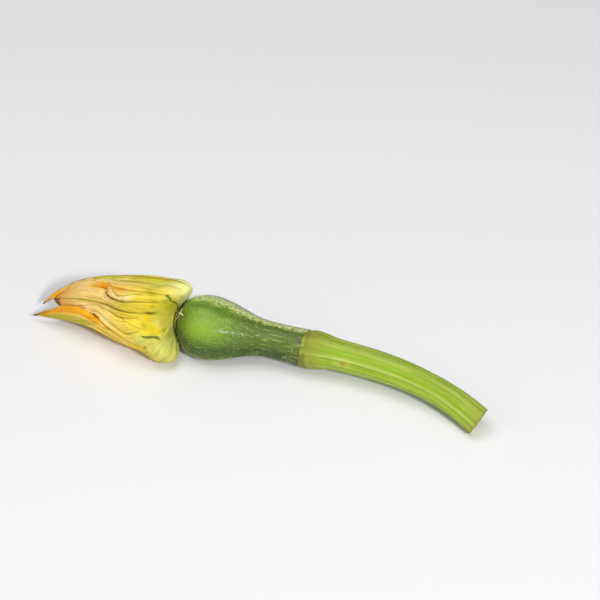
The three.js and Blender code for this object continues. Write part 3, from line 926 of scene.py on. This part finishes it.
def fruit_look():
    look = Look("green_rind", {"Specular IOR Level": 0.45})
    blotches = look.noise((4, 4, 8), 4, 0.6)
    streaks = look.noise((0.7, 0.7, 9), 4, 0.6)
    mottling = look.noise((1.0, 1.0, 1.6), 3, 0.65)
    flecks = look.cells((0.75, 0.75, 1.0))
    small = look.cells((0.4, 0.4, 0.5))
    streaky = look.times(look.between(streaks, 0.5, 0.72), look.rescaled("olive", 0.3, 0.3))
    edge = look.times(look.minus(streaks, 0.5), 1.4)
    edge = look.plus(edge, look.times(look.minus(mottling, 0.5), 1.6))
    pale = look.between(look.plus("pale", edge), 0.15, 1.0)
    on_body = look.minus(1.0, look.times("olive", 0.75))
    colour = look.coats(
        look.blend(blotches, 0.3, 0.7, (78, 114, 12), (104, 142, 28)),
        # Brighter green belly, partly painted light
        ("belly_tint_and_light", 0.85, (126, 168, 20)),
        ("olive", 1, (80, 104, 18)),
        # Painted shade on the lower side and by the flower
        (look.broken("painted_shade", blotches, 0.2, 0.5), 0.85, (40, 64, 0)),
        (streaky, 1, (160, 178, 76)),
        (look.broken("dark", streaks, 0.2, 0.5), 0.6, (62, 88, 14)),
        (look.broken(pale, mottling, 0.25, 0.6), 1, (194, 204, 130)),
        (look.times(look.between(flecks, 0.32, 0.12), look.times(on_body, 0.5)), 1, (184, 208, 96)),
        (look.times(look.between(small, 0.3, 0.1), look.times(on_body, 0.35)), 1, (204, 222, 130)),
        ("scar", 0.75, (84, 74, 44)),
    )
    height = look.plus(look.times(look.between(flecks, 0.5, 0.1), 0.9), streaks)
    height = look.plus(height, look.times(look.between(small, 0.5, 0.1), 0.6))
    roughness = look.plus(look.spread(blotches, 0.19, 0.29), look.times("painted_shade", 0.45))
    return look.finish(colour, roughness, height, 0.11)


def flipped(values):
    return {name: value[:, ::-1] for name, value in values.items()}


def fruit():
    rows, columns = 230, 300
    share = np.linspace(0, 1, rows + 1) ** 1.45
    azimuth = np.linspace(0, 360, columns + 1)
    share, azimuth = np.meshgrid(share, azimuth, indexing="ij")
    points = on_floor(closed(fruit_surface(share, azimuth)[0]))
    # The two ends close towards their middles.
    caps = np.array([0.0, 0.35, 0.7, 0.9])[:, None, None]
    first, last = points[0], points[-1]
    front = mix(first.mean(0), first, caps)
    back = mix(last.mean(0), last, caps[::-1])
    points = np.concatenate([front, points, back])
    azimuth = np.broadcast_to(azimuth[0], points.shape[:2])
    x = points[..., 0]
    radius = np.linalg.norm(points[..., 1:] - points[:, :-1, 1:].mean(1, keepdims=True), axis=-1)
    angle = np.radians(azimuth)
    grain = np.stack([radius * np.cos(angle), radius * np.sin(angle), x], -1)
    skin = Skin()
    skin.add_grid(points[:, ::-1], grain=grain[:, ::-1], **flipped(fruit_marks(x, azimuth)))
    skin.piece("fruit_skin", fruit_look(), "fruit", "fruit")


# Stem
def stem_line(distance):
    """The point, the direction and the two directions across the stem at distances along it."""
    share = np.linspace(0, 1, 2001)
    line = bezier(STEM_LINE, share)
    lengths = np.concatenate([[0], np.cumsum(np.linalg.norm(np.diff(line, axis=0), axis=1))])
    at = np.interp(distance, lengths, share)
    a, b, c, d = [np.array(p) for p in STEM_LINE]
    along = unit(bezier([b - a, c - b, d - c], at))
    side = unit(np.cross([0, 0, 1], along))
    centre = bezier(STEM_LINE, at) + along * np.minimum(distance, 0)[..., None]
    return centre, along, side, np.cross(along, side), lengths[-1]


def collar_reach(angle):
    """How far the stem's collar reaches back over the fruit."""
    return 0.95 + 0.5 * np.cos(angle + 0.2) + 0.22 * np.cos(5 * angle + 0.6) + 0.14 * np.cos(11 * angle)


def stem_rows(distance, angle):
    """Points and outward directions at distances along the stem, from under its collar to the cut."""
    centre, along, side, up, length = stem_line(distance)
    radius = through(STEM_RADIUS, np.maximum(distance, 0))
    over_fruit = through(FRUIT_RADIUS, centre[..., 0]) + 0.35
    radius = mix(radius, over_fruit, smooth((0.6 - distance) / 1.6))
    angles = STEM_ANGLE_HEIGHT * np.cos(STEM_ANGLES * angle)
    grooves = STEM_GROOVE_DEPTH * np.cos(3 * STEM_ANGLES * angle)
    fine = 0.08 * np.cos(6 * STEM_ANGLES * angle + 0.4 * np.sin(distance / 9))
    radius = radius + (angles + grooves + fine) * rise(distance, -1, 3)
    across = -side * np.cos(angle)[..., None] + up * np.sin(angle)[..., None]
    slant = -(across @ CUT_FACING) / (along @ CUT_FACING)
    near_cut = smooth(1 - (length - distance) / CUT_LENGTH)
    points = centre + radius[..., None] * (across + along * (slant * near_cut)[..., None])
    bumps = 0.12 * lumps(points, (9, 2.2, 2.2)) + 0.05 * lumps(points, (1.2, 0.7, 0.7))
    return points + bumps[..., None] * across, across


def stem_marks(distance, angle):
    """Where the stem is pale, lime green, collared, fringed by its collar's dark lip or scarred."""
    azimuth = np.degrees(angle)
    ridges = stripes(azimuth, (78, 5, 1), (28, 4, 0.7), (-20, 5, 0.6))
    lime = stripes(azimuth, (48, 13, 1), (5, 10, 0.7))
    halo = oval(distance, azimuth, 20.5, 4, 14, 16)
    end = rise(distance, 84, 12)
    return {
        "pale": clamp(ridges * rise(distance, 3, 5) + 0.7 * halo),
        "lime": clamp(lime * rise(distance, 5, 6) * (1 - 0.8 * end)),
        # The collar mark also makes the stem darker towards its cut end.
        "collar": clamp(fall(distance, 2, 16) + 0.4 * end),
        "fringe": fall(distance, 0.2, 2.4),
        "scar": oval(distance, azimuth, 21, 1.5, 12, 9),
    }


def stem_look():
    look = Look("ribbed_stalk", {"Specular IOR Level": 0.3})
    streaks = look.noise((0.55, 0.55, 14), 4, 0.6)
    bands = look.noise((1.8, 1.8, 40), 3, 0.55)
    blotches = look.noise((5, 5, 8), 3, 0.6)
    flecks = look.cells((0.5, 0.5, 0.8))
    fibres = look.noise((0.35, 0.35, 0.35), 2)
    flesh = look.blend(fibres, 0.35, 0.6, (168, 170, 84), (206, 208, 134))
    colour = look.coats(
        look.blend(bands, 0.35, 0.65, (134, 156, 34), (158, 178, 62)),
        ("lime", 0.85, (138, 174, 6)),
        (look.between(streaks, 0.5, 0.72), 0.4, (188, 204, 96)),
        (look.between(streaks, 0.48, 0.3), 0.45, (116, 144, 20)),
        (look.broken("pale", streaks, 0.25, 0.55), 0.6, (204, 214, 116)),
        (look.broken("collar", blotches, 0.2, 0.55), 0.9, (140, 144, 44)),
        (look.broken("fringe", blotches, 0.35, 0.6), 0.7, (104, 100, 28)),
        (look.between(flecks, 0.3, 0.1), 0.25, (212, 222, 130)),
        ("scar", 0.85, (150, 116, 48)),
    )
    colour = look.coats(look.mix("cut", colour, flesh), ("rim", 0.7, (146, 134, 50)))
    height = look.plus(streaks, look.times(look.between(flecks, 0.5, 0.1), 0.3))
    return look.finish(colour, look.spread(blotches, 0.38, 0.55), height, 0.2)


def stem_start(points, across, angle):
    """Rings that close the end inside the stem and lead to the collar's lip, which turns in."""
    centre = stem_line(np.zeros(1))[0][0]
    inner = mix(centre, stem_rows(np.zeros((1, len(angle))), angle[None])[0][0], 0.93)
    inner[-1] = inner[0]
    return [mix(centre, inner, 0.0), mix(centre, inner, 0.6), inner, points[0] - across[0] * 0.4]


def stem_end(ring):
    """Rings from the cut's edge to its middle, which lies a little deeper."""
    middle = ring[:-1].mean(0)
    facing = unit(CUT_FACING)
    return [mix(ring, middle, share) - facing * depth for share, depth in zip(END_SHARES, END_DEPTHS)]


def stem():
    rows, collar_rows, columns = 190, 36, 240
    length = stem_line(np.zeros(1))[-1]
    angle = np.linspace(0, TAU, columns + 1)
    down_collar = (np.linspace(0, 1, collar_rows, endpoint=False) ** 1.3)[:, None]
    collar = mix(-collar_reach(angle), COLLAR_LENGTH, down_collar)
    rest = np.broadcast_to(rows_of(COLLAR_LENGTH, length, rows), (rows + 1, columns + 1))
    distance = np.concatenate([collar, rest])
    points, across = stem_rows(distance, np.broadcast_to(angle, distance.shape))
    closed(points)
    start = stem_start(points, across, angle)
    end = stem_end(points[-1])
    points = on_floor(np.concatenate([np.stack(start), points, np.stack(end)]))
    before = np.zeros((len(start), columns + 1))
    after = np.full((len(end), columns + 1), length)
    distance = np.concatenate([before, distance, after])
    angle = np.broadcast_to(angle, distance.shape)
    inwards = np.concatenate([np.zeros(len(distance) - len(end)), END_SHARES])[:, None]
    values = stem_marks(distance, angle)
    values["cut"] = np.broadcast_to(smooth(inwards / 0.2), distance.shape)
    values["rim"] = smooth((distance - length + 1.6) / 1.4) * (1 - values["cut"])
    values["grain"] = rolled(8 * (1 - inwards), angle, distance)
    skin = Skin()
    skin.add_grid(points[:, ::-1], **flipped(values))
    skin.piece("stem_skin", stem_look(), "stem", "stem")


# Calyx

# Root and width are half widths near the ring and further out, and rise is the thickness, in millimetres.
# Drift is in degrees at shares of the length. Fork is how much shorter the tip's middle is, in reach.
PLAIN_SEPAL = {
    "root": 0.9, "width": 0.5, "rise": 0.6, "green_from": 0.2, "wide_from": 0.2, "bluntness": 8, "fork": 0,
}
SEPALS = [
    {"reach": 0.87, "drift": [(0, 0), (0.6, -9), (0.82, -3.5), (1, -1)], "root": 0.35, "width": 1.15,
     "rise": 0.5, "green_from": 0.62, "wide_from": 0.6, "bluntness": 14, "fork": 0},
    {"reach": 0.83, "drift": [(0, 0), (0.18, 10), (0.68, 2), (1, 5)], "root": 0.38, "width": 1.0,
     "rise": 0.6, "green_from": 0.06, "wide_from": 0.84, "bluntness": 30, "fork": 0.1},
    {**PLAIN_SEPAL, "reach": 1.55, "drift": [(0, 0), (0.5, 2), (1, -4)]},
    {**PLAIN_SEPAL, "reach": 1.45, "drift": [(0, 0), (0.5, -3), (1, 2)]},
    {**PLAIN_SEPAL, "reach": 0.35, "drift": [(0, 0), (1, 5)],
     "rise": 0.5, "green_from": 0.3, "wide_from": 0.3},
]
# Each dry strip has its first and last azimuth, how far it reaches along the fruit, and its half width.
STRIPS = [(38, 66, 0.07, 0.5), (64, 52, 0.1, 0.4)]


def tube_surface(azimuth, reach):
    """Points and outward directions of the corolla's fine surface."""
    pattern = pattern_azimuth(azimuth, reach)
    points = corolla_point(azimuth, reach, relief(pattern, reach))
    outward = corolla_outward(azimuth, reach)
    return points + small_folds(azimuth, pattern, reach, points)[..., None] * outward, outward


def add_sepal(skin, index):
    """A sepal that clings to the petals. Its root has their colour and only its outer part is green."""
    shape = SEPALS[index]
    share = rows_of(0, 1, 80)
    across = columns_of(-1, 1, 12)
    reach = mix(0.04, shape["reach"] - shape["fork"] * smooth(1 - np.abs(across) / 0.5), share)
    middle = FIRST_SEPAL + index * PETAL_STEP + through(shape["drift"], share[:, 0])[:, None]
    degree = np.linalg.norm(corolla_point(middle + 1, reach) - corolla_point(middle, reach), axis=-1)
    leaf = mix(shape["root"], shape["width"], rise(share, shape["wide_from"], 0.12))
    half_width = leaf * np.sqrt(np.clip(1 - share ** shape["bluntness"], 0.01, 1))
    points, outward = tube_surface(middle + across * half_width / degree, reach)
    dome = np.sqrt(clamp(1 - across**2)) * (0.75 - 0.25 * near(across, 0.25)) * mix(1, 0.8, share)
    lift = 0.02 + shape["rise"] * dome
    values = {
        "grain": np.stack(np.broadcast_arrays(across * 1.4, index * 9.0, share * 25), -1),
        "green": rise(share, shape["green_from"], 0.12),
        # Edge darkens the sepals' sides and undersides with painted shade.
        "edge": np.abs(across),
        "dry": 0.0,
    }
    skin.add_sheet(points + outward * lift[..., None], points - outward * 0.25, back={"edge": 1.0}, **values)


def add_strip(skin, first, last, reach, half_width):
    """A small dry strip that lies from the ring over the fruit's end, between two azimuths."""
    share = rows_of(0, 1, 20)
    turned = columns_of(0, TAU, 16)
    radius = through(FRUIT_RADIUS, bezier(FRUIT_LINE, reach * share)[..., 0])
    taper = np.sqrt(np.clip(1 - (2 * share - 1) ** 6, 0.02, 1))
    sideways = np.degrees(half_width * taper * np.cos(turned) / radius)
    azimuth = mix(first, last, smooth(share)) + sideways
    points, outward = fruit_surface(reach * share + 0 * turned, azimuth)
    lift = 0.7 + 0.9 * share**2 + 0.3 * taper * np.sin(turned)
    points = closed(points + outward * lift[..., None])
    skin.add_grid(points, grain=points, green=0.0, edge=0.0, dry=1.0)


def add_ring(skin):
    """The ring between fruit and flower, with a slightly wavy outer edge."""
    turned = rows_of(0, TAU, 24)
    angle = columns_of(0, TAU, 120)
    middle = (RING_INNER + RING_OUTER) / 2 + 0.12 * np.cos(5 * angle) + 0.08 * np.cos(13 * angle)
    x = RING_X + 0.5 * np.sin(turned)
    points = round_fruit_end(x, middle + 1.0 * np.cos(turned), angle)
    skin.add_grid(points, grain=rolled(4, angle, x), green=0.3, edge=0.5, dry=0.0)


def calyx_look():
    look = Look("sepal_green", {"Specular IOR Level": 0.35})
    streaks = look.noise((0.35, 1, 4), 3, 0.6)
    root = look.blend(streaks, 0.3, 0.7, (196, 196, 76), (214, 214, 110))
    green = look.blend(streaks, 0.3, 0.7, (92, 100, 20), (126, 132, 40))
    # Painted shade along the sepals' edges and undersides
    green = look.coats(green, (look.between("edge", 0.85, 1.0), 1, (84, 84, 20)))
    colour = look.coats(look.mix("green", root, green), ("dry", 1, (236, 232, 186)))
    return look.finish(colour, look.spread(streaks, 0.45, 0.65), streaks, 0.1)


def calyx():
    skin = Skin()
    add_ring(skin)
    for index in range(PETALS):
        add_sepal(skin, index)
    for strip in STRIPS:
        add_strip(skin, *strip)
    skin.piece("calyx_skin", calyx_look(), "calyx", "calyx")


# Pistil
def add_knob(skin, centre, axes):
    """A closed rounded body. Axes are three vectors of its half sizes, the last one along it."""
    around = columns_of(0, TAU, 40)
    along = rows_of(0, np.pi, 26)
    local = rolled(np.sin(along), around, np.cos(along))
    furrow = 1 - 0.2 * near(np.sin(around), 0.25) * np.sin(along)
    points = centre + (local * furrow[..., None]) @ np.array(axes)
    size = 1 + KNOB_BUMPS * lumps(points, 0.7)
    points = closed(centre + (points - centre) * size[..., None])
    skin.add_grid(points[::-1], grain=points[::-1])


def add_style(skin):
    """The stalk that carries the stigmas, a little wider at both ends."""
    share = rows_of(0, 1, 60)
    angle = columns_of(0, TAU, 48)
    radius = STYLE_RADIUS * (0.74 + 0.24 * near(share, 0.2) + 0.22 * near(share - 1, 0.2))
    radius = radius + 0.16 * np.cos(6 * angle) + 0.05 * np.cos(18 * angle)
    radius = radius * np.clip(np.minimum(share, 1 - share) * 1e3, 0, 1)
    points = closed(round_fruit_end(mix(1.0, -STYLE_LENGTH, share), radius, angle))
    skin.add_grid(points, grain=points)


def stigma_look():
    look = Look("stigma", {"Specular IOR Level": 0.4, "Subsurface Weight": 0.1, "Subsurface Scale": 0.001})
    grains = look.cells((0.45, 0.45, 0.45))
    tint = look.noise((2, 2, 2), 3)
    colour = look.blend(tint, 0.3, 0.7, (232, 168, 28), (246, 196, 60))
    colour = look.coats(colour, (look.between(grains, 0.35, 0.1), 1, (250, 214, 110)))
    return look.finish(colour, look.spread(tint, 0.45, 0.7), grains, 0.15)


def pistil():
    skin = Skin()
    add_style(skin)
    end = np.array([-STYLE_LENGTH - 0.6, 0, BLOSSOM_END_HEIGHT])
    out, wide, deep = KNOB_HALF_SIZES
    for i in range(STIGMAS):
        for half in (-1, 1):
            outward = radial((i + 0.19 * half) / STIGMAS * TAU)
            across = np.cross([-1, 0, 0], outward)
            add_knob(skin, end + KNOB_OUT * outward, [outward * out, across * wide, np.array([-deep, 0, 0])])
    skin.piece("pistil_skin", stigma_look(), "pistil", "pistil")


# Hairs

# Each group has its number of hairs, two ranges of places on a surface, and their length and radius.
FRUIT_HAIRS = [
    (2600, (0.03, 1), (0, 360), 0.6, 0.045),
    (1500, (0.02, 0.5), (-85, -25), 0.8, 0.045),
    (60, (0.86, 0.98), (-40, 30), 2.0, 0.09),
    (24, (0.62, 0.74), (-50, -20), 1.6, 0.08),
]
STEM_HAIRS = [
    (2400, (1, 96), (0, 360), 0.55, 0.045),
    (40, (0, 6), (-60, 60), 1.4, 0.07),
]
HAIR_CORNERS = (0, 2.0944, 4.1888)


def add_spikes(skin, roots, directions, lengths, radius):
    """A closed thin pyramid for each hair."""
    side = unit(np.cross(directions, [0.31, 0.17, 0.93]))
    other = np.cross(directions, side)
    corners = [roots + radius * (side * np.cos(a) + other * np.sin(a)) for a in HAIR_CORNERS]
    tips = roots + directions * lengths[:, None]
    ids = skin.add_points(np.stack([*corners, tips], 1), grain=np.stack([roots] * 4, 1))
    for face in ([0, 1, 3], [1, 2, 3], [2, 0, 3], [2, 1, 0]):
        skin.add_faces(ids[:, face])


def hair_look():
    look = Look("plant_hair", {"Specular IOR Level": 0.3})
    tint = look.noise((3, 3, 3), 2)
    colour = look.mix(tint, rgb(206, 216, 150), rgb(236, 240, 198))
    return look.finish(colour, look.spread(tint, 0.5, 0.7), tint, 0.02)


def hairs(name, slot, look, seed, surface, groups):
    """Groups of hairs that grow on a surface, which gives roots and outward directions for two places."""
    scatter = np.random.default_rng(seed)
    skin = Skin()
    for count, first, second, length, radius in groups:
        a, b = scatter.uniform(*first, count), scatter.uniform(*second, count)
        roots, outward = surface(a, b)
        lean = scatter.normal(0, 0.35, (count, 3)) + [0.25, 0, 0]
        directions = unit(outward + lean)
        lengths = length * scatter.uniform(0.6, 1.2, count)
        kept = (roots[:, 2] > 0.4) & ((roots + directions * lengths[:, None])[:, 2] > 0.05)
        add_spikes(skin, (roots - 0.05 * outward)[kept], directions[kept], lengths[kept], radius)
    skin.piece(name, look, slot)


def stem_surface(distance, azimuth):
    return stem_rows(distance, np.radians(azimuth))


# Camera, light and floor
def aim(thing, place, target):
    thing.location = place
    thing.rotation_euler = (Vector(target) - Vector(place)).to_track_quat("-Z", "Y").to_euler()


def add_camera():
    camera = add_object("camera", bpy.data.cameras.new("camera"))
    camera.data.lens = CAMERA_LENS
    camera.data.sensor_width = 36
    aim(camera, placed(CAMERA_AT), placed(CAMERA_LOOKS_AT))
    bpy.context.scene.camera = camera


def add_light(name, place, size, power):
    light = bpy.data.lights.new(name, "AREA")
    light.shape = "DISK"
    light.size = size
    light.energy = power
    aim(add_object(name, light), place, (0, 0, 0))


def add_floor():
    mesh = bpy.data.meshes.new("floor")
    corners = [(x * FLOOR_HALF, y * FLOOR_HALF, 0) for x, y in ((-1, -1), (1, -1), (1, 1), (-1, 1))]
    mesh.from_pydata(corners, [], [(0, 1, 2, 3)])
    floor = add_object("floor", mesh)
    look = Look("floor")
    place = look.node("TexCoord", {}, "Object")
    speckle = look.node("TexNoise", {"Vector": place, "Scale": 1.0, "Detail": 2.0, "Roughness": 0.5})
    colour = look.mix(speckle, rgb(232, 232, 234), rgb(235, 235, 237))
    look.finish(colour, 0.8, speckle, 0.01)
    mesh.materials.append(look.material)


def add_world():
    world = bpy.data.worlds.new("studio")
    bpy.context.scene.world = world
    world.use_nodes = True
    background = world.node_tree.nodes["Background"]
    background.inputs["Color"].default_value = (1, 1, 1, 1)
    background.inputs["Strength"].default_value = WORLD_STRENGTH


# The whole scene
corolla()
fruit()
stem()
calyx()
pistil()
hair = hair_look()
hairs("fruit_hairs", "fruit", hair, 7, fruit_surface, FRUIT_HAIRS)
hairs("stem_hairs", "stem", hair, 8, stem_surface, STEM_HAIRS)
add_camera()
add_world()
for light in LIGHTS:
    add_light(*light)
add_floor()
bpy.context.scene.view_settings.view_transform = "Standard"
